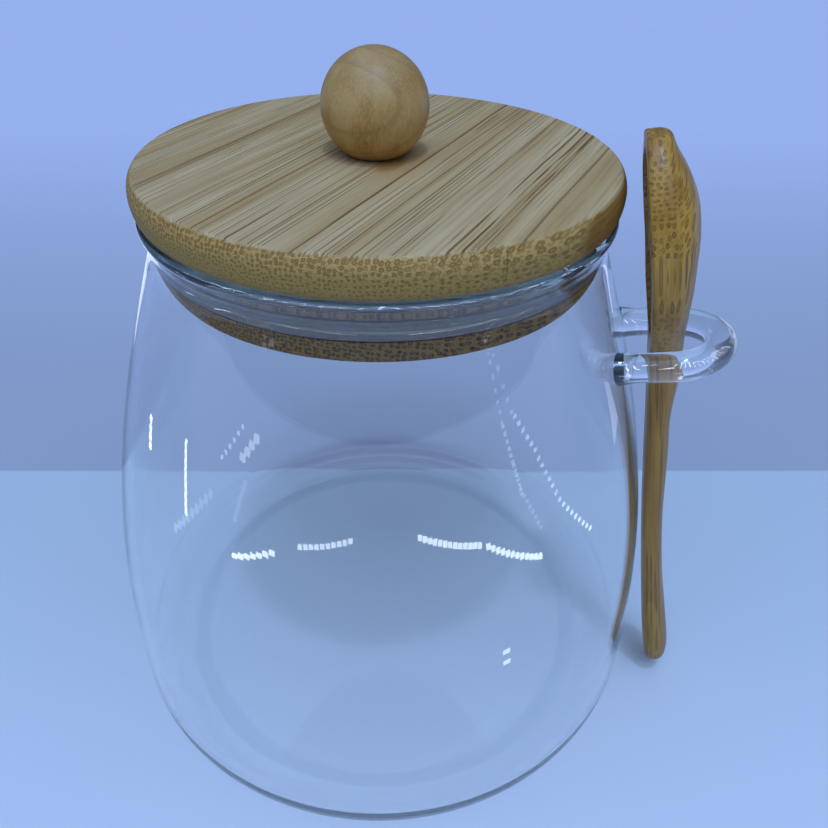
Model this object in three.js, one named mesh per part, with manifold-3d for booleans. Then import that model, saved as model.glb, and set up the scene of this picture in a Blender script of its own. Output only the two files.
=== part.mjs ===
// Glass storage jar with a turned bamboo lid, a ball knob, and a bamboo spoon in a glass loop on its flank.
// Millimetres, +Z up. The origin is on the jar's axis, on the surface it stands on. +X points to the loop.
import * as THREE from "three";
import { mergeVertices } from "three/addons/utils/BufferGeometryUtils.js";
import Module from "manifold-3d";

// Fit between touching pieces
const GAP = 0.3;

// Jar, blown clear glass
const WALL = 2.0;
const FLOOR_THICKNESS = 3.0;
const BASE_RADIUS = 55.8;
const CORNER_HEIGHT = 10;
const BELLY_RADIUS = 66.6;
const NECK_RADIUS = 44.6;
const NECK_Z = 119.4;
const LIP_RADIUS = 46.0;
const LIP_Z = 123.3;
const RIM_Z = 124.9;
const CREST_RADIUS = 44.9;
const MOUTH_RADIUS = 44.1;
// Radius and height up the outside of the flank, from the corner to the neck
const FLANK = [
  [BELLY_RADIUS, CORNER_HEIGHT],
  [66.5, 18],
  [66.0, 28],
  [65.0, 41],
  [62.7, 57],
  [59.3, 73],
  [54.9, 89],
  [50.3, 103],
  [46.3, 114.2],
  [NECK_RADIUS, NECK_Z],
  [LIP_RADIUS, LIP_Z],
];
const FLANK_STEPS = 17;
const CORNER_STEPS = 6;
const JAR_SEGMENTS = 64;

// Spoon loop, one bent glass rod fused to the flank
const ROD_RADIUS = 2.95;
const LOOP_HALF_WIDTH = 9.0;
const LOOP_ROOT_HALF_WIDTH = 9.5;
const LOOP_ROOT_X = 49.6;
const LOOP_ROOT_Z = 98.4;
const LOOP_BEND_X = 60.6;
const LOOP_RISE = THREE.MathUtils.degToRad(11.5);
const LOOP_BEND_POINTS = 6;
const LOOP_STEPS = 34;
const ROD_SIDES = 10;
const FUSED_BEAD_RADIUS = 3.4;

// Lid, one turned piece: a disc with a plug below it
const LID_THICKNESS = 7.4;
const LID_RADIUS = 46.5;
const LID_FACE_RADIUS = 44.8;
const LID_EDGE_HIGH = 0.45;
const LID_EDGE_STEPS = 4;
const PLUG_RADIUS = 41.9;
const PLUG_DEPTH = 12.8;
const PLUG_CHAMFER = 0.6;
const GROOVE_DEPTH = 1.5;
const GROOVE_TOP = 3.8;
const GROOVE_HEIGHT = 5.0;
const LID_SEGMENTS = 64;

// Seal, a soft band in the plug's groove
const SEAL_ROUND = 0.5;
const SEAL_DIP = 0.35;

// Knob, a ball with a flat foot, glued a little off the lid's centre
const KNOB_RADIUS = 10.0;
const KNOB_FOOT_RADIUS = 5.6;
const KNOB_OFFSET = [-0.7, -0.2];
const KNOB_SEGMENTS = 32;
const KNOB_STEPS = 14;

// Spoon, carved from one piece, hanging bowl up with its hollow towards the jar
const SPOON_LENGTH = 139.5;
const SPOON_TIP = [49.1, 140.6];
const SPOON_LEAN = THREE.MathUtils.degToRad(11.5);
const SPOON_TURN = THREE.MathUtils.degToRad(3.6);
// Distance from the tip, width, front face, back face and how far the front edges round off.
// The faces are measured from the spoon's middle line.
const SPOON_STATIONS = [
  [0.0, 6.0, -1.2, 2.4, 0.5],
  [0.6, 9.5, -1.5, 3.0, 0.6],
  [3.0, 14.0, -1.5, 3.9, 0.7],
  [7.0, 18.6, -1.6, 5.9, 0.8],
  [12.0, 22.4, -1.5, 7.5, 0.8],
  [17.5, 24.6, -1.3, 7.9, 0.8],
  [23.0, 25.0, -1.1, 7.5, 0.8],
  [28.0, 23.6, -1.1, 7.1, 0.8],
  [32.0, 20.6, -1.1, 6.6, 0.9],
  [35.5, 16.8, -1.0, 6.2, 1.1],
  [39.0, 13.0, -1.0, 5.8, 1.5],
  [42.0, 10.6, -1.1, 5.6, 1.8],
  [50.0, 9.8, -1.4, 4.8, 2.0],
  [59.0, 9.2, -1.7, 3.4, 2.2],
  [71.0, 9.0, -2.2, 2.9, 2.4],
  [88.0, 9.2, -2.7, 2.0, 2.4],
  [104.9, 10.0, -2.9, 2.0, 2.4],
  [119.8, 11.0, -2.9, 2.8, 2.4],
  [131.4, 11.2, -2.8, 3.4, 2.4],
  [136.7, 9.2, -2.5, 3.1, 2.2],
  [139.1, 5.6, -1.9, 2.3, 1.4],
  [SPOON_LENGTH, 2.6, -1.2, 1.3, 0.6],
];
const SPOON_SIDE_SHARE = 0.45;
const SPOON_EDGE_STEPS = 2;
const SPOON_BACK_STEPS = 5;
const HOLLOW_CENTRE = 20.5;
const HOLLOW_FRONT = -1.5;
const HOLLOW_HALF_LENGTH = 18.0;
const HOLLOW_HALF_WIDTH = 10.5;
const HOLLOW_DEPTH = 6.2;
const HOLLOW_SEGMENTS = 28;
const HOLLOW_RINGS = 16;

const wasm = await Module();
wasm.setup();

function solidOf(geometry) {
  const bare = geometry.clone();
  bare.deleteAttribute("normal");
  bare.deleteAttribute("uv");
  const merged = mergeVertices(bare, 1e-4);
  return new wasm.Manifold(
    new wasm.Mesh({
      numProp: 3,
      vertProperties: new Float32Array(merged.attributes.position.array),
      triVerts: new Uint32Array(merged.index.array),
    }),
  );
}

function geometryOf(solid) {
  const mesh = solid.getMesh();
  const geometry = new THREE.BufferGeometry();
  geometry.setAttribute("position", new THREE.BufferAttribute(mesh.vertProperties, 3));
  geometry.setIndex(new THREE.BufferAttribute(mesh.triVerts, 1));
  return geometry;
}

// A body of revolution about Z from radius and height pairs, listed upwards along its outside
function turned(profile, segments) {
  const points = profile.map(([radius, height]) => new THREE.Vector2(radius, height));
  return new THREE.LatheGeometry(points, segments).rotateX(Math.PI / 2);
}

function quarterEllipse(centre, halfWidth, halfHeight, from, to, steps) {
  const arc = new THREE.EllipseCurve(centre[0], centre[1], halfWidth, halfHeight, from, to, from > to);
  return arc.getPoints(steps).map((point) => [point.x, point.y]);
}

function flankPoints(inset) {
  const curve = new THREE.SplineCurve(FLANK.map(([radius, z]) => new THREE.Vector2(radius, z)));
  return curve.getSpacedPoints(FLANK_STEPS).map((point) => [point.x - inset, point.y]);
}

function jarOutside() {
  const corner = quarterEllipse(
    [BASE_RADIUS, CORNER_HEIGHT],
    BELLY_RADIUS - BASE_RADIUS,
    CORNER_HEIGHT,
    -Math.PI / 2,
    0,
    CORNER_STEPS,
  );
  const lip = quarterEllipse(
    [CREST_RADIUS, LIP_Z],
    LIP_RADIUS - CREST_RADIUS,
    RIM_Z - LIP_Z,
    0,
    Math.PI / 2,
    3,
  );
  const profile = [[0, 0], ...corner.slice(0, -1), ...flankPoints(0), ...lip.slice(1), [0, RIM_Z]];
  return turned(profile, JAR_SEGMENTS);
}

function jarCavity() {
  const corner = quarterEllipse(
    [BASE_RADIUS - WALL, CORNER_HEIGHT],
    BELLY_RADIUS - BASE_RADIUS,
    CORNER_HEIGHT - FLOOR_THICKNESS,
    -Math.PI / 2,
    0,
    CORNER_STEPS,
  );
  const above = RIM_Z + WALL;
  return turned(
    [
      [0, FLOOR_THICKNESS],
      ...corner.slice(0, -1),
      ...flankPoints(WALL).slice(0, -1),
      [MOUTH_RADIUS - 0.5, RIM_Z - 0.7],
      [MOUTH_RADIUS, RIM_Z],
      [MOUTH_RADIUS, above],
      [0, above],
    ],
    JAR_SEGMENTS,
  );
}

// Height of the rod's middle line above a given distance from the jar's axis
function loopZ(x) {
  return LOOP_ROOT_Z + (x - LOOP_ROOT_X) * Math.tan(LOOP_RISE);
}

function loopPath() {
  const points = [];
  const add = (x, y) => points.push(new THREE.Vector3(x, y, loopZ(x)));
  const middleX = (LOOP_ROOT_X + LOOP_BEND_X) / 2;
  const middleY = (LOOP_ROOT_HALF_WIDTH + LOOP_HALF_WIDTH) / 2;
  add(LOOP_ROOT_X, -LOOP_ROOT_HALF_WIDTH);
  add(middleX, -middleY);
  for (let i = 0; i <= LOOP_BEND_POINTS; i += 1) {
    const turn = (i / LOOP_BEND_POINTS) * Math.PI;
    add(LOOP_BEND_X + LOOP_HALF_WIDTH * Math.sin(turn), -LOOP_HALF_WIDTH * Math.cos(turn));
  }
  add(middleX, middleY);
  add(LOOP_ROOT_X, LOOP_ROOT_HALF_WIDTH);
  return new THREE.CatmullRomCurve3(points);
}

function loopRod() {
  const section = new THREE.Shape();
  section.absarc(0, 0, ROD_RADIUS, 0, 2 * Math.PI);
  return new THREE.ExtrudeGeometry(section, {
    curveSegments: ROD_SIDES,
    steps: LOOP_STEPS,
    extrudePath: loopPath(),
  });
}

// The swelling where a rod end was melted on to the flank
function fusedBead(side) {
  const bead = new THREE.SphereGeometry(FUSED_BEAD_RADIUS, 12, 8);
  return bead.translate(LOOP_ROOT_X, side * LOOP_ROOT_HALF_WIDTH, LOOP_ROOT_Z);
}

function jarGeometry() {
  let glass = solidOf(jarOutside()).add(solidOf(loopRod()));
  for (const side of [-1, 1]) {
    glass = glass.add(solidOf(fusedBead(side)));
  }
  return geometryOf(glass.subtract(solidOf(jarCavity())));
}

const LID_UNDERSIDE = RIM_Z + GAP;
const LID_TOP = LID_UNDERSIDE + LID_THICKNESS;
const GROOVE_HIGH = LID_UNDERSIDE - GROOVE_TOP;
const GROOVE_LOW = GROOVE_HIGH - GROOVE_HEIGHT;

function lidGeometry() {
  const plugBottom = LID_UNDERSIDE - PLUG_DEPTH;
  const bulge = LID_RADIUS - LID_FACE_RADIUS;
  const high = LID_THICKNESS * LID_EDGE_HIGH;
  const low = LID_THICKNESS - high;
  const middle = [LID_FACE_RADIUS, LID_UNDERSIDE + low];
  const lowerEdge = quarterEllipse(middle, bulge, low, -Math.PI / 2, 0, LID_EDGE_STEPS);
  const upperEdge = quarterEllipse(middle, bulge, high, 0, Math.PI / 2, LID_EDGE_STEPS);
  return turned(
    [
      [0, plugBottom],
      [PLUG_RADIUS - PLUG_CHAMFER, plugBottom],
      [PLUG_RADIUS, plugBottom + PLUG_CHAMFER],
      [PLUG_RADIUS, GROOVE_LOW],
      [PLUG_RADIUS - GROOVE_DEPTH, GROOVE_LOW],
      [PLUG_RADIUS - GROOVE_DEPTH, GROOVE_HIGH],
      [PLUG_RADIUS, GROOVE_HIGH],
      [PLUG_RADIUS, LID_UNDERSIDE],
      ...lowerEdge,
      ...upperEdge.slice(1),
      [0, LID_TOP],
    ],
    LID_SEGMENTS,
  );
}

function sealGeometry() {
  const inside = PLUG_RADIUS - GROOVE_DEPTH + GAP;
  const outside = NECK_RADIUS - WALL - GAP;
  const low = GROOVE_LOW + GAP;
  const high = GROOVE_HIGH - GAP;
  const middle = (low + high) / 2;
  return turned(
    [
      [inside, low],
      [outside - SEAL_ROUND, low],
      [outside, low + SEAL_ROUND],
      [outside, middle - SEAL_ROUND],
      [outside - SEAL_DIP, middle],
      [outside, middle + SEAL_ROUND],
      [outside, high - SEAL_ROUND],
      [outside - SEAL_ROUND, high],
      [inside, high],
      [inside, low],
    ],
    LID_SEGMENTS,
  );
}

function knobGeometry() {
  const centre = Math.sqrt(KNOB_RADIUS ** 2 - KNOB_FOOT_RADIUS ** 2);
  const footAngle = Math.asin(-centre / KNOB_RADIUS);
  const arc = quarterEllipse([0, centre], KNOB_RADIUS, KNOB_RADIUS, footAngle, Math.PI / 2, KNOB_STEPS);
  const ball = [[0, 0], ...arc.slice(0, -1), [0, centre + KNOB_RADIUS]];
  return turned(ball, KNOB_SEGMENTS);
}

// One section of the spoon: flat front, upright sides, and a back that rounds over from them
function spoonSection([, width, front, back, round]) {
  const half = width / 2;
  const ridge = front + (back - front) * SPOON_SIDE_SHARE;
  const edgeDepth = Math.min(round, (ridge - front) * 0.8);
  const side = [[front, 0]];
  for (let i = 0; i <= SPOON_EDGE_STEPS; i += 1) {
    const turn = (i / SPOON_EDGE_STEPS) * (Math.PI / 2);
    side.push([front + edgeDepth * (1 - Math.cos(turn)), half - round * (1 - Math.sin(turn))]);
  }
  for (let i = 0; i < SPOON_BACK_STEPS; i += 1) {
    const turn = (i / SPOON_BACK_STEPS) * (Math.PI / 2);
    side.push([ridge + (back - ridge) * Math.sin(turn), half * Math.cos(turn)]);
  }
  const mirrored = side.slice(1).reverse();
  return [...side, [back, 0], ...mirrored.map(([depth, across]) => [depth, -across])];
}

function spoonBlank() {
  const rings = SPOON_STATIONS.map((station) =>
    spoonSection(station).map(([depth, across]) => [depth, across, -station[0]]),
  );
  const count = rings[0].length;
  const positions = rings.flat(2);
  const index = [];
  for (let ring = 0; ring + 1 < rings.length; ring += 1) {
    for (let i = 0; i < count; i += 1) {
      const here = ring * count + i;
      const beside = ring * count + ((i + 1) % count);
      index.push(here, beside, here + count, beside, beside + count, here + count);
    }
  }
  const last = (rings.length - 1) * count;
  for (let i = 1; i + 1 < count; i += 1) {
    index.push(0, i + 1, i);
    index.push(last, last + i, last + i + 1);
  }
  const geometry = new THREE.BufferGeometry();
  geometry.setAttribute("position", new THREE.Float32BufferAttribute(positions, 3));
  geometry.setIndex(index);
  return geometry;
}

function spoonHollow() {
  const bowl = new THREE.SphereGeometry(1, HOLLOW_SEGMENTS, HOLLOW_RINGS);
  bowl.scale(HOLLOW_DEPTH, HOLLOW_HALF_WIDTH, HOLLOW_HALF_LENGTH);
  return bowl.translate(HOLLOW_FRONT, 0, -HOLLOW_CENTRE);
}

function spoonGeometry() {
  return geometryOf(solidOf(spoonBlank()).subtract(solidOf(spoonHollow())));
}

const glassMaterial = new THREE.MeshStandardMaterial({
  color: 0xdfeeee,
  roughness: 0.03,
  metalness: 0,
  transparent: true,
  opacity: 0.35,
});
const lidMaterial = new THREE.MeshStandardMaterial({ color: 0xc79a5e, roughness: 0.55, metalness: 0 });
const sealMaterial = new THREE.MeshStandardMaterial({ color: 0xb9bec2, roughness: 0.4, metalness: 0 });
const knobMaterial = new THREE.MeshStandardMaterial({ color: 0xc8934e, roughness: 0.45, metalness: 0 });
const spoonMaterial = new THREE.MeshStandardMaterial({ color: 0xc08a3e, roughness: 0.4, metalness: 0 });

const object = new THREE.Group();

function place(name, geometry, material) {
  const mesh = new THREE.Mesh(geometry, material);
  mesh.name = name;
  object.add(mesh);
  return mesh;
}

place("jar_glass", jarGeometry(), glassMaterial);
place("lid", lidGeometry(), lidMaterial);
place("lid_seal", sealGeometry(), sealMaterial);

const knob = place("knob", knobGeometry(), knobMaterial);
knob.position.set(KNOB_OFFSET[0], KNOB_OFFSET[1], LID_TOP + GAP);

const spoon = place("spoon", spoonGeometry(), spoonMaterial);
spoon.position.set(SPOON_TIP[0], 0, SPOON_TIP[1]);
spoon.rotation.set(0, -SPOON_LEAN, SPOON_TURN);

export default object;
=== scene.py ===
import math

import bpy
from mathutils import Matrix, Vector


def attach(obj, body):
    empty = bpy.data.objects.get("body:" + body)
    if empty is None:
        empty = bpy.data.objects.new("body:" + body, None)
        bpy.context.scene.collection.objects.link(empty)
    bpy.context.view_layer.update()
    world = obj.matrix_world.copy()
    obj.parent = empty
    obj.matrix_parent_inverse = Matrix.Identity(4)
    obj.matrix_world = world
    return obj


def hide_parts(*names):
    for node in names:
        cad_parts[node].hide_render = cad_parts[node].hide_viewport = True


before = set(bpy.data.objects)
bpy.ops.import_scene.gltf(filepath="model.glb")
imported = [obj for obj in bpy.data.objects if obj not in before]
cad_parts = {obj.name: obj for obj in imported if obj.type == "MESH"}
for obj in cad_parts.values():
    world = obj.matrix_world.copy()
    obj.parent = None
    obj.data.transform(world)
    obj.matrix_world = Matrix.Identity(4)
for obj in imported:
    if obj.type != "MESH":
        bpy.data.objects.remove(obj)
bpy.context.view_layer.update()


# Jar body. Clear glass blown into a mould, about 2 mm thick, with a rounded belly and a narrow
# neck. The mouth is ground flat and polished, and the underside pushed up a little in the middle.
# All sizes are in mm. A turned outline is a list of radius and height.
MM = 0.001
BASE_RADIUS = 55.8
CORNER_HEIGHT = 10.0
BELLY_RADIUS = 66.6
WALL = 2.0
FLOOR_THICKNESS = 3.0
PUSH_UP = 0.7
UNDERSIDE = [(0, PUSH_UP), (25, PUSH_UP * 0.75), (44, PUSH_UP * 0.2), (51.5, 0)]
FLANK = [
    (66.6, 10.0), (66.5, 18.0), (66.0, 28.0), (65.0, 41.0), (62.7, 57.0), (59.3, 73.0),
    (54.9, 89.0), (50.3, 103.0), (46.3, 114.2), (44.6, 119.4), (46.0, 123.3),
]
RIM_TOP = [
    (46.15, 123.9), (46.17, 124.35), (46.08, 124.62), (45.87, 124.82), (45.55, 124.9),
    (45.0, 124.93), (44.5, 124.9), (44.15, 124.75), (43.95, 124.45),
]
INNER_HEEL = [
    (64.6, 10.0), (63.6, 7.6), (61.2, 5.7), (58.3, 4.4), (56.6, 3.7), (55.8, 3.2),
    (54.6, 3.0), (52.0, 3.0),
]
INNER_FLOOR = [(30, FLOOR_THICKNESS), (0, FLOOR_THICKNESS)]
CORNER_STEPS = 14
FLANK_STEPS = 5
HEEL_STEPS = 3
TURNS = 192


def smooth_line(points, steps):
    """A curve that passes through every point, with this many steps between two of them."""
    last = len(points) - 1
    line = []
    for i in range(last):
        before = points[max(i - 1, 0)]
        here, there = points[i], points[i + 1]
        after = points[min(i + 2, last)]
        for k in range(steps):
            t = k / steps
            line.append(tuple(
                (2 * here[c] + (there[c] - before[c]) * t
                 + (2 * before[c] - 5 * here[c] + 4 * there[c] - after[c]) * t ** 2
                 + (3 * here[c] - before[c] - 3 * there[c] + after[c]) * t ** 3) / 2
                for c in range(len(here))
            ))
    line.append(points[last])
    return line


def round_over(centre_r, centre_z, half_width, half_height, start, end, steps):
    """Radius and height along part of an ellipse, between two angles in degrees."""
    line = []
    for k in range(steps + 1):
        angle = math.radians(start + (end - start) * k / steps)
        line.append((
            centre_r + half_width * math.cos(angle), centre_z + half_height * math.sin(angle)))
    return line


def add_piece(name, verts, faces):
    """A new piece from its corners, in metres, and its faces."""
    mesh = bpy.data.meshes.new(name)
    mesh.from_pydata(verts, [], faces)
    mesh.update()
    piece = bpy.data.objects.new(name, mesh)
    bpy.context.scene.collection.objects.link(piece)
    return piece


def hoop(radius, height, turns):
    """The corners of one ring of a turned piece, in metres."""
    corners = []
    for k in range(turns):
        angle = 2 * math.pi * k / turns
        corners.append((radius * MM * math.cos(angle), radius * MM * math.sin(angle), height * MM))
    return corners


def skin(low, high, count):
    """The faces between two rings of this many corners. Each ring is given by its first corner."""
    faces = []
    for k in range(count):
        n = (k + 1) % count
        faces.append((low + k, low + n, high + n, high + k))
    return faces


def turn_on_lathe(name, outline, turns):
    """A closed turned body. The outline runs from the axis, up the outside and back to the axis."""
    verts, faces, rings = [], [], []
    for radius, height in outline:
        on_axis = radius < 1e-6
        rings.append((len(verts), on_axis))
        verts += [(0, 0, height * MM)] if on_axis else hoop(radius, height, turns)
    for (low, low_on_axis), (high, high_on_axis) in zip(rings, rings[1:]):
        if low_on_axis:
            faces += [(low, high + (k + 1) % turns, high + k) for k in range(turns)]
        elif high_on_axis:
            faces += [(low + k, low + (k + 1) % turns, high) for k in range(turns)]
        else:
            faces += skin(low, high, turns)
    return add_piece(name, verts, faces)


def shade(piece, sharp_above):
    """Smooth shading, with edges steeper than this many degrees left crisp."""
    piece.data.polygons.foreach_set("use_smooth", [True] * len(piece.data.polygons))
    piece.data.set_sharp_from_angle(angle=math.radians(sharp_above))


flank_line = smooth_line(FLANK, FLANK_STEPS)
jar_outline = list(UNDERSIDE)
jar_outline += round_over(
    BASE_RADIUS, CORNER_HEIGHT, BELLY_RADIUS - BASE_RADIUS, CORNER_HEIGHT,
    -90, 0, CORNER_STEPS)[:-1]
jar_outline += flank_line + RIM_TOP
jar_outline += [(radius - WALL, height) for radius, height in reversed(flank_line[:-2])]
jar_outline += smooth_line(INNER_HEEL, HEEL_STEPS)[1:] + INNER_FLOOR
jar = turn_on_lathe("jar_glass_blown", jar_outline, TURNS)


# Spoon loop. One clear glass rod about 6 mm thick, bent into a U and melted on to the flank at
# both ends, where it swells a little. The jar and its loop are one piece of glass.
ROD_RADIUS = 2.95
ROOT = (50.0, 9.5, 98.4)
BEND_X = 60.6
LOOP_HALF_WIDTH = 9.0
LOOP_RISE = math.radians(11.5)
ROOT_SWELL = 0.5
SWELL_STEPS = 3
STRAIGHT_STEPS = 8
BEND_STEPS = 36
ROD_SIDES = 40
GLASS_LOOKS = {"Base Color": (1, 1, 1, 1), "Roughness": 0.0, "IOR": 1.5, "Transmission Weight": 1.0}
GLASS_TINT = (0.4, 0.75, 0.68, 1)
TINT_DENSITY = 3
LET_BY = (0.955, 0.965, 0.965, 1)


def loop_middle():
    """The rod's middle line in mm, from the front root round the bend to the back root."""
    half = []
    for k in range(STRAIGHT_STEPS + 1):
        t = k / STRAIGHT_STEPS
        half.append((ROOT[0] + (BEND_X - ROOT[0]) * t, ROOT[1] + (LOOP_HALF_WIDTH - ROOT[1]) * t))
    line = [(x, -y) for x, y in half]
    for k in range(1, BEND_STEPS):
        angle = math.pi * k / BEND_STEPS
        line.append((
            BEND_X + LOOP_HALF_WIDTH * math.sin(angle), -LOOP_HALF_WIDTH * math.cos(angle)))
    line += list(reversed(half))
    return [Vector((x, y, ROOT[2] + (x - ROOT[0]) * math.tan(LOOP_RISE))) for x, y in line]


def bend_rod(name):
    """The glass rod, with both ends inside the jar's wall."""
    line = loop_middle()
    upright = Vector((-math.sin(LOOP_RISE), 0, math.cos(LOOP_RISE)))
    verts, faces = [], []
    for i, point in enumerate(line):
        along = (line[min(i + 1, len(line) - 1)] - line[max(i - 1, 0)]).normalized()
        side = along.cross(upright).normalized()
        from_root = min(i, len(line) - 1 - i)
        radius = ROD_RADIUS + ROOT_SWELL * max(0, 1 - from_root / SWELL_STEPS) ** 1.5
        for k in range(ROD_SIDES):
            angle = 2 * math.pi * k / ROD_SIDES
            outward = side * math.cos(angle) + upright * math.sin(angle)
            verts.append(tuple((point + outward * radius) * MM))
    for i in range(len(line) - 1):
        faces += skin(i * ROD_SIDES, (i + 1) * ROD_SIDES, ROD_SIDES)
    faces.append(tuple(range(ROD_SIDES - 1, -1, -1)))
    faces.append(tuple(range(len(verts) - ROD_SIDES, len(verts))))
    return add_piece(name, verts, faces)


def unite_or_carve(piece, tool, way):
    """Melts the tool into the piece or carves it out, and takes the tool away."""
    change = piece.modifiers.new("change", "BOOLEAN")
    change.operation = way
    change.solver = "EXACT"
    change.object = tool
    bpy.context.view_layer.update()
    seen = piece.evaluated_get(bpy.context.evaluated_depsgraph_get())
    changed = bpy.data.meshes.new_from_object(seen)
    piece.modifiers.clear()
    piece.data = changed
    bpy.data.objects.remove(tool)


def finish(name, looks):
    """A new material with one principled shader, whose sockets take these values."""
    material = bpy.data.materials.new(name)
    material.use_nodes = True
    surface = material.node_tree.nodes["Principled BSDF"]
    for socket, value in looks.items():
        surface.inputs[socket].default_value = value
    return material, material.node_tree, surface


def clear_glass(name):
    """Glass with a faint green tint in its depth. Lamps shine through it on to what is behind."""
    material, tree, surface = finish(name, GLASS_LOOKS)
    output = tree.nodes["Material Output"]
    tint = tree.nodes.new("ShaderNodeVolumeAbsorption")
    tint.inputs["Color"].default_value = GLASS_TINT
    tint.inputs["Density"].default_value = TINT_DENSITY
    tree.links.new(tint.outputs["Volume"], output.inputs["Volume"])
    let_by = tree.nodes.new("ShaderNodeBsdfTransparent")
    let_by.inputs["Color"].default_value = LET_BY
    ray = tree.nodes.new("ShaderNodeLightPath")
    body = surface.outputs["BSDF"]
    for kind in ("Is Diffuse Ray", "Is Shadow Ray"):
        pick = tree.nodes.new("ShaderNodeMixShader")
        tree.links.new(ray.outputs[kind], pick.inputs[0])
        tree.links.new(body, pick.inputs[1])
        tree.links.new(let_by.outputs[0], pick.inputs[2])
        body = pick.outputs[0]
    tree.links.new(body, output.inputs["Surface"])
    return material


unite_or_carve(jar, bend_rod("loop_rod"), "UNION")
shade(jar, sharp_above=35)
jar.data.materials.clear()
jar.data.materials.append(clear_glass("clear_glass"))
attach(jar, "root")
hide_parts("jar_glass")


# Lid. Bamboo strips glued side by side and turned as one disc with a plug below, sanded and
# lacquered. The strips' fibres show as lines on top and as pores where the edge cuts them.
RIM_Z = 125.2
LID_TOP = 132.6
LID_FACE_RADIUS = 44.8
LID_BULGE = 1.7
LID_WIDEST = 129.27
PLUG_RADIUS = 41.9
PLUG_BOTTOM = 112.4
PLUG_CORNER = 0.6
GROOVE_HIGH = 121.4
GROOVE_LOW = 116.4
GROOVE_RADIUS = 40.4
EDGE_STEPS = 12
GRAIN = math.radians(78.5)
CRACK_AT = math.radians(-49.4)
# The bundles lie 0.67 mm apart at the lid's left, 0.72 mm in the middle and 1.4 mm at the right
GAP_LEFT = 0.66
GAP_GROWTH = 0.06
GAP_REACH = 18.0
PORES_FROM = 129
# How fast the bundles' drift to the side changes, per mm across and along the grain
DRIFT_ACROSS = 0.12
DRIFT_ALONG = 0.035
# Height bands in mm where one look of the lid gives way to the next
FACE_BAND = (132.15, 132.5)
SHOULDER_BAND = (128.6, 131.2)
UNDER_BAND = (127.4, 125.2)
PLUG_BAND = (125.2, 124.6)
STRIP_DARK = (0.45, 0.29, 0.11)
STRIP_LIGHT = (0.58, 0.42, 0.2)
STRIP_PATCH = (0.34, 0.19, 0.06)
THIN_LINE = (0.2, 0.105, 0.035)
BOLD_LINE = (0.16, 0.075, 0.02)
# Painted shade: the edge and its pores are darker below the shoulder than on it
EDGE_LOW = (0.38, 0.245, 0.06)
EDGE_HIGH = (0.5, 0.315, 0.09)
# Painted shade where the edge curves under towards the rim
EDGE_UNDER_PAINTED_SHADE = (0.24, 0.15, 0.06)
# Painted shade beneath the lid: the plug's wood, and further down its pores, are much darker
PLUG_WOOD_PAINTED_SHADE = (0.19, 0.11, 0.025)
PORE_LOW = (0.17, 0.085, 0.015)
PORE_HIGH = (0.25, 0.115, 0.02)
PLUG_PORE_PAINTED_SHADE = (0.05, 0.022, 0.004)
PORE_FINE = (0.2, 0.1, 0.025)
FIBRE_FINE = (0.3, 0.17, 0.055)
GLUE_AT = (3.9, -5.6, 132.6)
GLUE_PALE = (0.38, 0.2, 0.045)
GLUE_RED = (0.3, 0.11, 0.012)
AMBER = (0.2, 0.08, 0.01)
CRACK = (0.06, 0.03, 0.01)
LID_LOOKS = {"Roughness": 0.6, "Specular IOR Level": 0.13}


def plug_in(tree, value, slot):
    """Sets an input to a number or a colour, or links it to the output of another node."""
    if isinstance(value, (int, float)):
        slot.default_value = value
    elif isinstance(value, tuple):
        slot.default_value = (*value, 1)
    else:
        tree.links.new(value, slot)


def calc(tree, way, *values):
    """One arithmetic step on numbers or on the outputs of other nodes."""
    node = tree.nodes.new("ShaderNodeMath")
    node.operation = way
    for slot, value in zip(node.inputs, values):
        plug_in(tree, value, slot)
    return node.outputs[0]


def times(tree, first, second):
    return calc(tree, "MULTIPLY", first, second)


def fade(tree, value, start, end, low=0.0, high=1.0):
    """Goes softly from low to high while the value goes from start to end."""
    node = tree.nodes.new("ShaderNodeMapRange")
    node.interpolation_type = "SMOOTHSTEP"
    node.inputs["From Min"].default_value = start
    node.inputs["From Max"].default_value = end
    node.inputs["To Min"].default_value = low
    node.inputs["To Max"].default_value = high
    tree.links.new(value, node.inputs["Value"])
    return node.outputs["Result"]


def blend(tree, share, under, over):
    """Lays one colour over another, by a share that may change over the surface."""
    node = tree.nodes.new("ShaderNodeMix")
    node.data_type = "RGBA"
    under_slot, over_slot = [slot for slot in node.inputs if slot.type == "RGBA"]
    plug_in(tree, share, node.inputs["Factor"])
    plug_in(tree, under, under_slot)
    plug_in(tree, over, over_slot)
    return [output for output in node.outputs if output.type == "RGBA"][0]


def place_in_mm(tree, turn=(0, 0, 0), start=(0, 0, 0)):
    """The point on the piece in mm, in a frame that is turned and starts at a given point."""
    where = tree.nodes.new("ShaderNodeTexCoord")
    frame_of = tree.nodes.new("ShaderNodeMapping")
    frame_of.vector_type = "TEXTURE"
    frame_of.inputs["Location"].default_value = [v * MM for v in start]
    frame_of.inputs["Rotation"].default_value = turn
    frame_of.inputs["Scale"].default_value = (MM, MM, MM)
    tree.links.new(where.outputs["Object"], frame_of.inputs["Vector"])
    parts = tree.nodes.new("ShaderNodeSeparateXYZ")
    tree.links.new(frame_of.outputs["Vector"], parts.inputs[0])
    return parts.outputs[0], parts.outputs[1], parts.outputs[2]


def together(tree, x, y, z=0.0):
    """Three numbers or outputs as one point."""
    node = tree.nodes.new("ShaderNodeCombineXYZ")
    for slot, value in zip(node.inputs, (x, y, z)):
        plug_in(tree, value, slot)
    return node.outputs[0]


def cloud(tree, x, y, z, detail=2.0):
    """Soft patches, from 0 to 1, about one to each unit of the point given."""
    node = tree.nodes.new("ShaderNodeTexNoise")
    node.inputs["Scale"].default_value = 1
    node.inputs["Detail"].default_value = detail
    tree.links.new(together(tree, x, y, z), node.inputs["Vector"])
    return node.outputs["Fac"]


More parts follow.
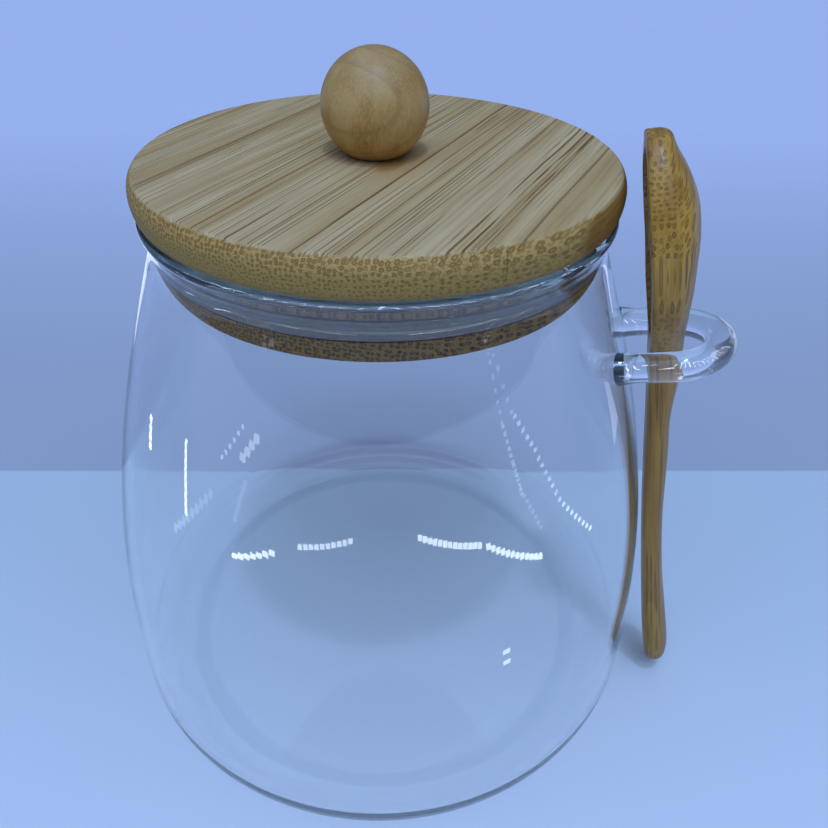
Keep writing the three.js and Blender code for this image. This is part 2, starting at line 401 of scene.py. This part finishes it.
def bundles(tree, across, upright, along, spacing, wander, order, seed):
    """Fibre bundles cut by the surface: how far the nearest is, and a chance value of its own."""
    moved = []
    for place, shift in ((across, seed), (upright, seed + 31.7)):
        drift = cloud(
            tree, times(tree, across, DRIFT_ACROSS), times(tree, upright, DRIFT_ACROSS),
            calc(tree, "MULTIPLY_ADD", along, DRIFT_ALONG, shift))
        drift = times(tree, calc(tree, "SUBTRACT", drift, 0.5), wander)
        moved.append(calc(tree, "ADD", calc(tree, "DIVIDE", place, spacing), drift))
    node = tree.nodes.new("ShaderNodeTexVoronoi")
    node.voronoi_dimensions = "2D"
    node.inputs["Scale"].default_value = 1
    node.inputs["Randomness"].default_value = order
    tree.links.new(together(tree, *moved), node.inputs["Vector"])
    chance = tree.nodes.new("ShaderNodeSeparateColor")
    tree.links.new(node.outputs["Color"], chance.inputs[0])
    return node.outputs["Distance"], chance.outputs[0]


def add_relief(tree, surface, height, strength):
    """Pores that lie up to a tenth of a millimetre below the surface."""
    relief = tree.nodes.new("ShaderNodeBump")
    relief.inputs["Strength"].default_value = strength
    relief.inputs["Distance"].default_value = 0.1 * MM
    tree.links.new(height, relief.inputs["Height"])
    tree.links.new(relief.outputs["Normal"], surface.inputs["Normal"])


def lid_end_grain(tree, across, height, near, chance, fine):
    """The edge and the plug, where the cut bundles show as pores, larger towards the shoulder.
    Painted shade makes both darker lower down, most of all on the plug beneath the lid.
    """
    # Painted shade: darker below the shoulder, darker still under the bulge and darkest on the plug
    shoulder = fade(tree, height, *SHOULDER_BAND)
    ground = blend(tree, shoulder, EDGE_LOW, EDGE_HIGH)
    # Painted shade under the bulge
    ground = blend(tree, fade(tree, height, *UNDER_BAND, 0.0, 0.6), ground, EDGE_UNDER_PAINTED_SHADE)
    # Painted shade: the plug beneath the lid is made much darker
    plug = fade(tree, height, *PLUG_BAND)
    ground = blend(tree, plug, ground, PLUG_WOOD_PAINTED_SHADE)
    brown = blend(tree, shoulder, PORE_LOW, PORE_HIGH)
    brown = blend(tree, plug, brown, PLUG_PORE_PAINTED_SHADE)
    size = calc(tree, "MULTIPLY_ADD", plug, 0.14, fade(tree, height, 128.6, 131.4, 0.3, 0.46))
    cell = fade(tree, calc(tree, "SUBTRACT", near, size), 0.02, -0.1)
    strong = calc(tree, "MULTIPLY_ADD", plug, 0.35, fade(tree, height, 126.0, 130.5, 0.6, 0.85))
    strong = times(tree, strong, fade(tree, chance, 0.0, 0.5, 0.6, 1.0))
    end = blend(tree, times(tree, cell, strong), ground, brown)
    # The wide pores at the right have a pale middle
    hole = times(tree, fade(tree, near, 0.22, 0.1), fade(tree, across, 5.0, 30.0, 0.15, 0.7))
    end = blend(tree, times(tree, hole, shoulder), end, ground)
    return blend(tree, fade(tree, fine, 0.42, 0.2, 0.0, 0.4), end, PORE_FINE)


def lid_long_grain(tree, across, along, near, chance, even):
    """The face, with the strips' tones, thin lines over all of it and bolder ones further apart."""
    strips = cloud(tree, times(tree, across, 0.16), times(tree, along, 0.006), 2.0, 3.0)
    patches = cloud(tree, times(tree, across, 0.5), times(tree, along, 0.03), 7.0, 3.0)
    ground = blend(tree, fade(tree, strips, 0.35, 0.65), STRIP_DARK, STRIP_LIGHT)
    ground = blend(tree, fade(tree, patches, 0.4, 0.75, 0.0, 0.3), ground, STRIP_PATCH)
    line = times(tree, fade(tree, near, 0.28, 0.14), fade(tree, chance, 0.05, 0.8, 0.25, 0.8))
    face = blend(tree, line, ground, THIN_LINE)
    row, strength = bundles(tree, times(tree, even, 0.62), 0, along, 1.0, 0.7, 0.55, 40.0)
    line = times(tree, fade(tree, row, 0.21, 0.1), fade(tree, strength, 0.0, 0.7, 0.3, 1.0))
    return blend(tree, line, face, BOLD_LINE)


def glue_stain(tree, face):
    """Glue that ran out from under the knob, longer along the grain than across it."""
    right_of, down_from, _ = place_in_mm(tree, (0, 0, GRAIN - math.pi / 2), GLUE_AT)
    reach = calc(tree, "SQRT", calc(
        tree, "ADD", calc(tree, "POWER", right_of, 2),
        calc(tree, "POWER", times(tree, down_from, 0.5), 2)))
    face = blend(tree, fade(tree, reach, 8.0, 1.0, 0.0, 0.4), face, GLUE_PALE)
    return blend(tree, fade(tree, reach, 3.0, 1.3, 0.0, 0.7), face, GLUE_RED)


def hairline_crack(tree, height, colour):
    """A fine dark crack that wavers down the edge on one side."""
    outward, aside, _ = place_in_mm(tree, (0, 0, CRACK_AT))
    waver = calc(tree, "SUBTRACT", cloud(tree, 3.0, 5.0, times(tree, height, 1.1)), 0.5)
    aside = calc(tree, "ABSOLUTE", calc(tree, "MULTIPLY_ADD", waver, 1.2, aside))
    crack = times(tree, fade(tree, aside, 0.14, 0.05), fade(tree, outward, 43.0, 44.0))
    on_edge = times(tree, fade(tree, height, 126.8, 127.6), fade(tree, height, 132.1, 131.6))
    return blend(tree, times(tree, times(tree, crack, on_edge), 0.6), colour, CRACK)


def lid_bamboo(name):
    """Bamboo whose bundles are close together at the lid's left and wide apart at its right."""
    material, tree, surface = finish(name, LID_LOOKS)
    across, along, height = place_in_mm(tree, (0, 0, GRAIN - math.pi / 2))
    # Even counts the bundles across the lid, so their gap grows while their pattern stays regular
    growth = calc(tree, "EXPONENT", calc(tree, "DIVIDE", across, GAP_REACH))
    gap = calc(tree, "MULTIPLY_ADD", growth, GAP_GROWTH, GAP_LEFT)
    bent = times(tree, calc(tree, "LOGARITHM", gap, math.e), GAP_REACH)
    even = calc(tree, "DIVIDE", calc(tree, "SUBTRACT", across, bent), GAP_LEFT)
    low = calc(tree, "DIVIDE", calc(tree, "SUBTRACT", height, PORES_FROM), gap)
    near, chance = bundles(tree, even, low, along, 1.0, 0.7, 0.62, 4.0)
    fine, _ = bundles(
        tree, times(tree, even, 2.3), times(tree, low, 2.3), along, 1.0, 3.0, 0.9, 19.0)
    end = lid_end_grain(tree, across, height, near, chance, fine)
    face = glue_stain(tree, lid_long_grain(tree, across, along, near, chance, even))
    colour = blend(tree, fade(tree, height, *FACE_BAND), end, face)
    colour = blend(tree, fade(tree, fine, 0.45, 0.15, 0.0, 0.35), colour, FIBRE_FINE)
    # At the far right the side of the last strip comes out, amber
    amber = times(tree, fade(tree, across, 43.2, 45.0), fade(tree, height, 132.5, 131.8))
    colour = blend(tree, times(tree, amber, 0.8), colour, AMBER)
    plug_in(tree, hairline_crack(tree, height, colour), surface.inputs["Base Color"])
    add_relief(tree, surface, fade(tree, near, 0.15, 0.42), 0.3)
    return material


lid_outline = [(0, PLUG_BOTTOM), (PLUG_RADIUS - 0.7, PLUG_BOTTOM)]
lid_outline += round_over(
    PLUG_RADIUS - PLUG_CORNER, PLUG_BOTTOM + PLUG_CORNER, PLUG_CORNER, PLUG_CORNER, -90, 0, 4)[1:]
lid_outline += [
    (PLUG_RADIUS, GROOVE_LOW), (GROOVE_RADIUS, GROOVE_LOW), (GROOVE_RADIUS, GROOVE_HIGH),
    (PLUG_RADIUS, GROOVE_HIGH), (PLUG_RADIUS, RIM_Z),
]
lid_outline += round_over(
    LID_FACE_RADIUS, LID_WIDEST, LID_BULGE, LID_WIDEST - RIM_Z, -90, 0, EDGE_STEPS)
lid_outline += round_over(
    LID_FACE_RADIUS, LID_WIDEST, LID_BULGE, LID_TOP - LID_WIDEST, 0, 90, EDGE_STEPS)[1:]
lid_outline += [(30, LID_TOP), (0, LID_TOP)]
lid = turn_on_lathe("lid_bamboo", lid_outline, TURNS)
shade(lid, sharp_above=40)
lid.data.materials.append(lid_bamboo("lid_bamboo"))
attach(lid, "root")
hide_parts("lid")


# Seal. A moulded band of translucent grey silicone, pressed into the plug's groove. It has two
# low ribs with a dip between them.
SEAL_OUTLINE = [
    (40.7, 116.7), (41.8, 116.7), (42.15, 116.85), (42.3, 117.2), (42.3, 118.3), (42.2, 118.65),
    (41.95, 118.9), (42.2, 119.15), (42.3, 119.5), (42.3, 120.6), (42.15, 120.95), (41.8, 121.1),
    (40.7, 121.1),
]
# The seal's own grey, painted much darker still as the shade beneath the lid's overhang
SEAL_DARK = (0.085, 0.075, 0.06)
SEAL_LIGHT = (0.105, 0.095, 0.08)
SEAL_LOOKS = {
    "Roughness": 0.38, "Subsurface Weight": 0.3, "Subsurface Radius": (2 * MM, 2 * MM, 2 * MM),
}


def mould_seal(name):
    """The band, whose outline closes on itself."""
    verts, faces = [], []
    for i, (radius, height) in enumerate(SEAL_OUTLINE):
        verts += hoop(radius, height, TURNS)
        faces += skin(i * TURNS, (i + 1) % len(SEAL_OUTLINE) * TURNS, TURNS)
    return add_piece(name, verts, faces)


def grey_silicone(name):
    """Translucent grey with a faint mottling, painted much darker as the shade beneath the lid."""
    material, tree, surface = finish(name, SEAL_LOOKS)
    across, along, height = place_in_mm(tree)
    mottle = cloud(tree, times(tree, across, 0.9), times(tree, along, 0.9), height)
    colour = blend(tree, fade(tree, mottle, 0.3, 0.7), SEAL_DARK, SEAL_LIGHT)
    plug_in(tree, colour, surface.inputs["Base Color"])
    return material


seal = mould_seal("lid_seal_silicone")
shade(seal, sharp_above=50)
seal.data.materials.append(grey_silicone("grey_silicone"))
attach(seal, "root")
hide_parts("lid_seal")


# Knob. A small ball of fine-grained wood, turned with a flat foot, lacquered and glued on the lid
# a little off its centre.
KNOB_RADIUS = 10.0
KNOB_FOOT = 5.6
KNOB_PLACE = (-0.7, -0.2, 132.9)
KNOB_TURN = (0.12, 0.06, 0.3)
KNOB_TURNS = 128
KNOB_STEPS = 48
# The growth rings are cones round an axis that stands just behind the ball
RING_AXIS = (2.0, 4.0)
RING_TAPER = 0.42
RINGS_PER_MM = 0.3
KNOB_DARK = (0.43, 0.215, 0.035)
KNOB_LIGHT = (0.55, 0.32, 0.085)
KNOB_FLECK = (0.6, 0.41, 0.17)
KNOB_GREYED = (0.3, 0.19, 0.09)
KNOB_RING = (0.28, 0.14, 0.05)
KNOB_LOOKS = {
    "Roughness": 0.5, "Specular IOR Level": 0.3, "Coat Weight": 0.08, "Coat Roughness": 0.35,
}


def knob_wood(name):
    """Fine-grained wood with flecks and faint growth rings, a little greyer towards its top."""
    material, tree, surface = finish(name, KNOB_LOOKS)
    across, along, height = place_in_mm(tree, KNOB_TURN, KNOB_PLACE)
    flecks = cloud(
        tree, times(tree, across, 3.4), times(tree, along, 3.4), times(tree, height, 0.7), 3.0)
    patches = cloud(
        tree, times(tree, across, 0.22), times(tree, along, 0.22), times(tree, height, 0.1))
    away = calc(tree, "SQRT", calc(
        tree, "ADD", calc(tree, "POWER", calc(tree, "ADD", across, -RING_AXIS[0]), 2),
        calc(tree, "POWER", calc(tree, "ADD", along, -RING_AXIS[1]), 2)))
    count = times(tree, calc(tree, "MULTIPLY_ADD", height, RING_TAPER, away), RINGS_PER_MM)
    ring = calc(tree, "FRACT", count)
    late = times(tree, fade(tree, ring, 0.72, 0.95), fade(tree, ring, 1.0, 0.97))
    ground = blend(tree, fade(tree, patches, 0.35, 0.65), KNOB_DARK, KNOB_LIGHT)
    ground = blend(tree, fade(tree, flecks, 0.4, 0.7, 0.0, 0.5), ground, KNOB_FLECK)
    ground = blend(tree, fade(tree, height, 9, 19, 0.0, 0.35), ground, KNOB_GREYED)
    colour = blend(tree, times(tree, late, 0.3), ground, KNOB_RING)
    plug_in(tree, colour, surface.inputs["Base Color"])
    return material


knob_centre = math.sqrt(KNOB_RADIUS ** 2 - KNOB_FOOT ** 2)
foot_angle = math.degrees(math.asin(-knob_centre / KNOB_RADIUS))
knob_outline = [(0, 0), (KNOB_FOOT - 0.4, 0)]
knob_outline += round_over(
    0, knob_centre, KNOB_RADIUS, KNOB_RADIUS, foot_angle, 90, KNOB_STEPS)[:-1]
knob_outline += [(0, knob_centre + KNOB_RADIUS)]
knob = turn_on_lathe("knob_wood", knob_outline, KNOB_TURNS)
knob.data.transform(Matrix.Translation(Vector(KNOB_PLACE) * MM))
shade(knob, sharp_above=40)
knob.data.materials.append(knob_wood("knob_wood"))
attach(knob, "root")
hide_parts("knob")


# Spoon. Carved from one piece of bamboo and lacquered. It hangs bowl up in the loop, its hollow
# towards the jar, and its handle leans against the flank.
SPOON_TIP = (49.1, 0, 140.6)
SPOON_LEAN = math.radians(11.5)
SPOON_TURN = math.radians(3.6)
# Distance from the tip, width, front face, back face and how far the front edges round off
SPOON_SECTIONS = [
    (0.0, 6.0, -1.2, 2.4, 0.5), (0.6, 9.5, -1.5, 3.0, 0.6), (3.0, 14.0, -1.5, 3.9, 0.7),
    (7.0, 18.6, -1.6, 5.9, 0.8), (12.0, 22.4, -1.5, 7.5, 0.8), (17.5, 24.6, -1.3, 7.9, 0.8),
    (23.0, 25.0, -1.1, 7.5, 0.8), (28.0, 23.6, -1.1, 7.1, 0.8), (32.0, 20.6, -1.1, 6.6, 0.9),
    (35.5, 16.8, -1.0, 6.2, 1.1), (39.0, 13.0, -1.0, 5.8, 1.5), (42.0, 10.6, -1.1, 5.6, 1.8),
    (50.0, 9.8, -1.4, 4.8, 2.0), (59.0, 9.2, -1.7, 3.4, 2.2), (71.0, 9.0, -2.2, 2.9, 2.4),
    (88.0, 9.2, -2.7, 2.0, 2.4), (104.9, 10.0, -2.9, 2.0, 2.4), (119.8, 11.0, -2.9, 2.8, 2.4),
    (131.4, 11.2, -2.8, 3.4, 2.4), (136.7, 9.2, -2.5, 3.1, 2.2), (139.1, 5.6, -1.9, 2.3, 1.4),
    (139.5, 2.6, -1.2, 1.3, 0.6),
]
SECTION_STEPS = 6
SIDE_SHARE = 0.45
FRONT_STEPS = 5
ROUNDING_STEPS = 6
BACK_STEPS = 12
# The hollow is half an egg, placed from the tip and from the spoon's front
HOLLOW_FROM_TIP = 20.5
HOLLOW_FROM_FRONT = -1.5
HOLLOW_HALF_LENGTH = 18.0
HOLLOW_HALF_WIDTH = 10.5
HOLLOW_DEPTH = 6.2
GOUGE_RINGS = 48
GOUGE_TURNS = 64
# The fibres lean outwards: reach and slope in the bowl's end, then start, stretch and slope below
END_LEAN = (12, 1.8)
FIBRE_LEANS = ((12, 6, 0.85), (29, 13, 0.4))
SPOON_DARK = (0.385, 0.18, 0.02)
SPOON_LIGHT = (0.52, 0.275, 0.04)
SPOON_PORE = (0.19, 0.08, 0.012)
SPOON_FINE = (0.24, 0.12, 0.02)
# Painted shade for the neck and handle
SPOON_PAINTED_SHADE = (0.17, 0.09, 0.018)
SPOON_LOOKS = {
    "Roughness": 0.4, "Specular IOR Level": 0.2, "Coat Weight": 0.25, "Coat Roughness": 0.25,
}


def spoon_ring(width, front, back, edge):
    """One cross-section: flat in front with rounded edges, and arched behind."""
    half = width / 2
    ridge = front + (back - front) * SIDE_SHARE
    depth = min(edge, (ridge - front) * 0.8)
    side = [(front, (half - edge) * k / FRONT_STEPS) for k in range(FRONT_STEPS)]
    for k in range(ROUNDING_STEPS + 1):
        turn = math.pi / 2 * k / ROUNDING_STEPS
        side.append((front + depth * (1 - math.cos(turn)), half - edge * (1 - math.sin(turn))))
    for k in range(BACK_STEPS):
        turn = math.pi / 2 * k / BACK_STEPS
        side.append((ridge + (back - ridge) * math.sin(turn), half * math.cos(turn)))
    return side + [(back, 0)] + [(deep, -wide) for deep, wide in reversed(side[1:])]


def spoon_blank(name):
    """The spoon before its bowl is hollowed, lying along the axis with its tip at the top."""
    sections = smooth_line(SPOON_SECTIONS, SECTION_STEPS)
    verts, faces = [], []
    for along, width, front, back, edge in sections:
        ring = spoon_ring(width, front, back, edge)
        verts += [(deep * MM, wide * MM, -along * MM) for deep, wide in ring]
    count = len(ring)
    for i in range(len(sections) - 1):
        faces += skin(i * count, (i + 1) * count, count)
    faces.append(tuple(range(count - 1, -1, -1)))
    faces.append(tuple(range(len(verts) - count, len(verts))))
    blank = add_piece(name, verts, faces)
    blank.data.validate()
    return blank


def bowl_gouge(name):
    """The egg shape that is carved out of the bowl."""
    verts, faces = [], []
    for i in range(GOUGE_RINGS + 1):
        polar = math.pi * i / GOUGE_RINGS
        for k in range(GOUGE_TURNS):
            angle = 2 * math.pi * k / GOUGE_TURNS
            verts.append((
                (HOLLOW_FROM_FRONT + HOLLOW_DEPTH * math.sin(polar) * math.cos(angle)) * MM,
                HOLLOW_HALF_WIDTH * math.sin(polar) * math.sin(angle) * MM,
                (-HOLLOW_FROM_TIP + HOLLOW_HALF_LENGTH * math.cos(polar)) * MM))
    for i in range(GOUGE_RINGS):
        low, high = i * GOUGE_TURNS, (i + 1) * GOUGE_TURNS
        for k in range(GOUGE_TURNS):
            n = (k + 1) % GOUGE_TURNS
            faces.append((low + k, high + k, high + n, low + n))
    gouge = add_piece(name, verts, faces)
    gouge.data.validate()
    weld = gouge.modifiers.new("weld", "WELD")
    weld.merge_threshold = 0.01 * MM
    return gouge


def spoon_bamboo(name):
    """Bamboo with its bundles along the spoon, which show as pores where the carving cuts them."""
    material, tree, surface = finish(name, SPOON_LOOKS)
    turned = Matrix.Rotation(-SPOON_LEAN, 3, "Y") @ Matrix.Rotation(SPOON_TURN, 3, "Z")
    depth, side, height = place_in_mm(tree, tuple(turned.to_euler("XYZ")), SPOON_TIP)
    along = times(tree, height, -1)
    lean = times(tree, calc(tree, "MINIMUM", along, END_LEAN[0]), END_LEAN[1])
    for start, stretch, slope in FIBRE_LEANS:
        part = calc(tree, "MAXIMUM", calc(tree, "SUBTRACT", along, start), 0)
        part = calc(tree, "MINIMUM", part, stretch)
        lean = calc(tree, "ADD", lean, times(tree, part, slope))
    bent = calc(tree, "SUBTRACT", calc(tree, "ABSOLUTE", side), lean)
    near, chance = bundles(tree, bent, depth, along, 1.1, 0.5, 0.6, 8.0)
    fine, _ = bundles(
        tree, times(tree, bent, 3.0), times(tree, depth, 3.0), along, 1.5, 2.0, 0.9, 23.0)
    tone = cloud(
        tree, times(tree, side, 0.3), times(tree, depth, 0.3), times(tree, along, 0.03), 3.0)
    ground = blend(tree, fade(tree, tone, 0.35, 0.65), SPOON_DARK, SPOON_LIGHT)
    ring = times(tree, fade(tree, near, 0.36, 0.26), fade(tree, near, 0.05, 0.18, 0.45, 1.0))
    pore = times(tree, ring, fade(tree, chance, 0.0, 0.8, 0.5, 0.9))
    colour = blend(tree, pore, ground, SPOON_PORE)
    colour = blend(tree, fade(tree, fine, 0.5, 0.15, 0.0, 0.35), colour, SPOON_FINE)
    # Painted shade: the neck and handle are darker than the bowl, as less light falls on them from
    # above
    colour = blend(tree, fade(tree, along, 14, 34, 0.0, 0.35), colour, SPOON_PAINTED_SHADE)
    plug_in(tree, colour, surface.inputs["Base Color"])
    add_relief(tree, surface, fade(tree, near, 0.12, 0.36), 0.25)
    return material


spoon = spoon_blank("spoon_bamboo")
unite_or_carve(spoon, bowl_gouge("gouge"), "DIFFERENCE")
spoon.data.transform(
    Matrix.Translation(Vector(SPOON_TIP) * MM)
    @ Matrix.Rotation(-SPOON_LEAN, 4, "Y") @ Matrix.Rotation(SPOON_TURN, 4, "Z"))
shade(spoon, sharp_above=38)
spoon.data.materials.clear()
spoon.data.materials.append(spoon_bamboo("spoon_bamboo"))
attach(spoon, "root")
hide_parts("spoon")


# Table. A pale, slightly blue matt sheet under the jar. It rises behind the jar, and the fold
# between the two is drawn on one flat sheet, with painted shade towards the fold and beyond it.
SHEET_REACH = 3
SHEET_AWAY = (-0.268, 0.963)
FOLD_AT = 58.9
NEAR_LIGHT = (0.75, 0.74, 0.74)
# Painted shade: the sheet darkens towards the fold, the part beyond is darkest at the fold and
# lightens with distance, and the fold itself is a dark line
NEAR_PAINTED_SHADE = (0.47, 0.53, 0.53)
FAR_PAINTED_SHADE = (0.355, 0.375, 0.4)
FAR_LIGHT = (0.53, 0.55, 0.62)
FOLD_PAINTED_SHADE = (0.36, 0.37, 0.42)
SHEET_SHEEN = (0.5, 0.5, 0.52)


def table_sheet(name):
    """Matt sheet, whose tone and painted shade are given by how far it lies behind the jar."""
    material, tree, surface = finish(name, {"Roughness": 0.75})
    across, along, _ = place_in_mm(tree)
    behind = calc(
        tree, "ADD", times(tree, across, SHEET_AWAY[0]), times(tree, along, SHEET_AWAY[1]))
    # Painted shade, darker towards the fold on both sides and along the fold itself
    near_sheet = blend(tree, fade(tree, behind, -180, 58), NEAR_LIGHT, NEAR_PAINTED_SHADE)
    far_sheet = blend(tree, fade(tree, behind, 58, 520), FAR_PAINTED_SHADE, FAR_LIGHT)
    paper_and_shade = blend(tree, fade(tree, behind, FOLD_AT - 1, FOLD_AT), near_sheet, far_sheet)
    fold = times(tree, fade(tree, behind, 57.6, 58.4), fade(tree, behind, FOLD_AT + 1, FOLD_AT))
    paper_and_shade = blend(tree, times(tree, fold, 0.5), paper_and_shade, FOLD_PAINTED_SHADE)
    sheen = cloud(tree, times(tree, across, 0.012), times(tree, along, 0.012), 0.0)
    paper_and_shade = blend(tree, fade(tree, sheen, 0.35, 0.7, 0.0, 0.05), paper_and_shade, SHEET_SHEEN)
    plug_in(tree, paper_and_shade, surface.inputs["Base Color"])
    return material


table = add_piece("table", [
    (-SHEET_REACH, -SHEET_REACH, 0), (SHEET_REACH, -SHEET_REACH, 0),
    (SHEET_REACH, SHEET_REACH, 0), (-SHEET_REACH, SHEET_REACH, 0),
], [(0, 1, 2, 3)])
table.data.materials.append(table_sheet("table_sheet"))


# Light. A cool studio, bright overhead and dark along the horizon, with a small sun and a wide
# one in front. Only the jar mirrors the rest: rows of tiny lamps, tall strips and two side panels.
COOL = (0.41, 0.575, 1.0)
SKY_LOW = 0.18
SKY_HIGH = 2.7
SKY_TOP = (0.08, -0.3, 0.95)
SKY_FALL = 4
# Name, strength, width in degrees and the way to it
SUNS = (
    ("main_lamp", 0.8, 3.5, (0.08, -0.22, 0.97)), ("front_lamp", 0.5, 12, (0.13, -0.45, 0.88)),
)
# Both ends in mm, count, width and height of one lamp, and glow
LAMP_ROWS = [
    ((160, -102, 142), (175, -83, 94), 8, 5, 2, 2),
    ((176, -80, 91), (184, -60, 70), 6, 5, 2, 4),
    ((184, -57, 65), (185, -35, 35), 7, 5, 2, 4),
    ((185, -30, 31), (178, 7, 5), 8, 5, 2, 6),
    ((162, -102, 135), (169, -97, 92), 9, 4, 2, 2),
    ((169, -96, 90), (174, -91, 72), 6, 4, 2, 3),
    ((174, -90, 70), (176, -84, 52), 7, 4, 2, 3),
    ((177, -81, 50), (179, -64, 29), 7, 4, 2, 2),
    ((-102, -160, 20), (-65, -184, 31), 7, 7, 3, 12),
    ((-35, -195, 39), (21, -200, 47), 10, 5, 3, 10),
    ((95, -177, 48), (146, -133, 36), 13, 5, 3.5, 12),
    ((151, -124, 34), (175, -67, 14), 12, 5, 3.5, 12),
    ((-157, -101, 56), (-148, -109, 24), 9, 4, 4, 9),
    ((-172, -34, 42), (-171, -39, 30), 4, 6, 3, 8),
    ((-126, -146, 66), (-108, -160, 86), 6, 4, 2, 4),
    ((-105, -164, 73), (-92, -172, 85), 4, 8, 4, 4),
    ((-126, -87, 24), (-108, -120, 52), 9, 5, 4, 1.2),
    ((-106, -161, 39), (-100, -168, 61), 8, 5, 3, 1.2),
    ((-94, -166, 129), (-68, -178, 142), 4, 6, 5, 1.5),
    ((97, -77, 9), (96, -76, 4), 2, 5, 2, 6),
]
ROWS_AIM = (0, 0, 0.085)
LAMP_TINT = (0.8, 0.9, 1.0)
# The strips stand on an arc in front, between two angles in degrees. Sizes are in metres
STRIPS = 24
STRIPS_FROM = -165
STRIPS_SPAN = 190
STRIP_AWAY = 0.5
STRIP_HEIGHT = 0.45
STRIP_SIZE = (0.012, 0.4)
STRIP_GLOW = 16
STRIPS_AIM = (0, 0, 0.125)
PANEL_AT = (0.2, 0.3, 0.1)
PANEL_SIZE = (0.4, 0.2)
PANEL_GLOW = 0.75
GLASS_BOUNCES = 40
CLEAR_BOUNCES = 24

sky = bpy.data.worlds.new("sky")
bpy.context.scene.world = sky
sky.use_nodes = True
tree = sky.node_tree
direction = tree.nodes.new("ShaderNodeTexCoord")
overhead = tree.nodes.new("ShaderNodeVectorMath")
overhead.operation = "DOT_PRODUCT"
overhead.inputs[1].default_value = SKY_TOP
tree.links.new(direction.outputs["Generated"], overhead.inputs[0])
rise = calc(tree, "POWER", calc(tree, "MAXIMUM", overhead.outputs["Value"], 0), SKY_FALL)
glow = calc(tree, "MULTIPLY_ADD", rise, SKY_HIGH, SKY_LOW)
tree.links.new(glow, tree.nodes["Background"].inputs["Strength"])
tree.nodes["Background"].inputs["Color"].default_value = (*COOL, 1)
for name, power, spread, towards in SUNS:
    lamp = bpy.data.lights.new(name, "SUN")
    lamp.angle = math.radians(spread)
    lamp.energy = power
    lamp.color = COOL
    holder = bpy.data.objects.new(name, lamp)
    holder.rotation_euler = Vector(towards).to_track_quat("Z", "Y").to_euler()
    bpy.context.scene.collection.objects.link(holder)
glass_only = bpy.data.collections.new("glass_only")
glass_only.objects.link(jar)


def glass_lamp(name, spot, towards, width, height, glow):
    """A flat lamp that only the glass mirrors, with its sizes in metres and its brightness."""
    flat = bpy.data.lights.new(name, "AREA")
    flat.shape = "RECTANGLE"
    flat.size = width
    flat.size_y = height
    flat.energy = glow * width * height * 4
    flat.color = LAMP_TINT
    holder = bpy.data.objects.new(name, flat)
    holder.location = spot
    holder.rotation_euler = (spot - towards).to_track_quat("Z", "Y").to_euler()
    holder.light_linking.receiver_collection = glass_only
    holder.visible_camera = False
    holder.visible_transmission = False
    bpy.context.scene.collection.objects.link(holder)


for start, end, count, width, height, glow in LAMP_ROWS:
    for k in range(count):
        spot = Vector(start).lerp(Vector(end), k / (count - 1)) * MM
        glass_lamp("row_lamp", spot, Vector(ROWS_AIM), width * MM, height * MM, glow)
for k in range(STRIPS):
    angle = math.radians(STRIPS_FROM + STRIPS_SPAN * k / (STRIPS - 1))
    spot = Vector((STRIP_AWAY * math.cos(angle), STRIP_AWAY * math.sin(angle), STRIP_HEIGHT))
    glass_lamp("rim_strip", spot, Vector(STRIPS_AIM), *STRIP_SIZE, STRIP_GLOW)
for side in (-1, 1):
    spot = Vector((PANEL_AT[0] * side, PANEL_AT[1], PANEL_AT[2]))
    glass_lamp("side_glow", spot, Vector((0, PANEL_AT[1], PANEL_AT[2])), *PANEL_SIZE, PANEL_GLOW)
bpy.context.scene.view_settings.view_transform = "Standard"
bpy.context.scene.cycles.max_bounces = GLASS_BOUNCES
bpy.context.scene.cycles.transmission_bounces = GLASS_BOUNCES
bpy.context.scene.cycles.glossy_bounces = GLASS_BOUNCES
bpy.context.scene.cycles.transparent_max_bounces = CLEAR_BOUNCES


# Camera. It stands in front and looks down on the lid, at the height and angle of the photograph.
# Its place is in metres, and its three directions were solved from the jar's outlines.
CAMERA_AT = (0.041307, -0.13511, 0.177661)
CAMERA_RIGHT = Vector((0.967531, 0.252328, 0.014636))
CAMERA_UP = Vector((-0.164058, 0.582909, 0.795803))
CAMERA_AHEAD = Vector((-0.192272, 0.772365, -0.605379))
eye = bpy.data.cameras.new("camera")
eye.sensor_width = 36
eye.lens = 31.925
eye.clip_start = 0.01
camera = bpy.data.objects.new("camera", eye)
facing = Matrix((CAMERA_RIGHT, CAMERA_UP, -CAMERA_AHEAD)).transposed().to_4x4()
camera.matrix_world = Matrix.Translation(CAMERA_AT) @ facing
bpy.context.scene.collection.objects.link(camera)
bpy.context.scene.camera = camera
